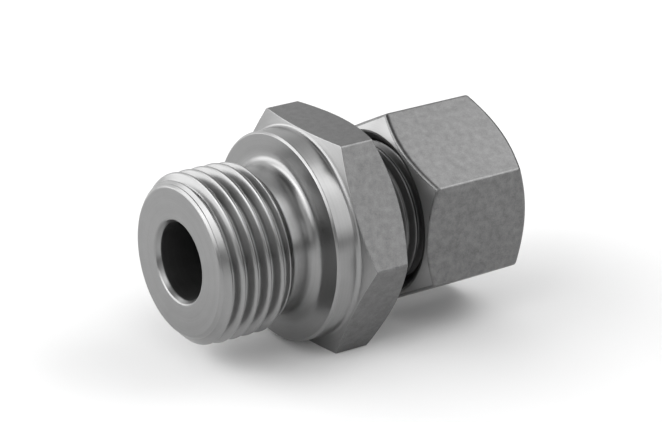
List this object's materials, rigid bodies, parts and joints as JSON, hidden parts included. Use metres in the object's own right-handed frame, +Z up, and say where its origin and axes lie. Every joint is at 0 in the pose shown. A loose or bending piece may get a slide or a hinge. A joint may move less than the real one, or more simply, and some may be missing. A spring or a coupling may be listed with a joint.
{
  "type": "compression stud coupling",
  "caption": "Straight compression stud coupling: threaded stud with sealing collar, hexagon body, cutting ring and hexagon union nut on a tube socket.",
  "frame": {"origin": "the point on the supporting surface under the middle of the coupling's length, with the coupling lying on one flat of its body hexagon", "axes": "+X along the coupling's axis from the threaded stud to the union nut, +Z up, square to the flat that it lies on"},
  "size_m": [0.0442, 0.0312, 0.027],
  "materials": {
    "body_steel": "turned and milled bright steel, satin",
    "ring_steel": "turned hardened steel, satin",
    "nut_steel": "cold-drawn bar steel, fine matt grain"
  },
  "bodies": {
    "body": {"stud_body": "body_steel"},
    "ring": {"cutting_ring": "ring_steel"},
    "nut": {"union_nut": "nut_steel"}
  },
  "joints": [
    {"name": "nut_travel", "type": "slide", "parent": "body", "child": "ring", "axis": [1, 0, 0], "range_m": [0, 0.006]},
    {"name": "nut_turn", "type": "hinge", "parent": "ring", "child": "nut", "pos_m": [0.01435, 0, 0.0135], "axis": [1, 0, 0], "range_deg": [0, 1440]}
  ],
  "couplings": [
    {"joint": "nut_turn", "follows": "nut_travel", "rad_per_m": 4188.8}
  ]
}
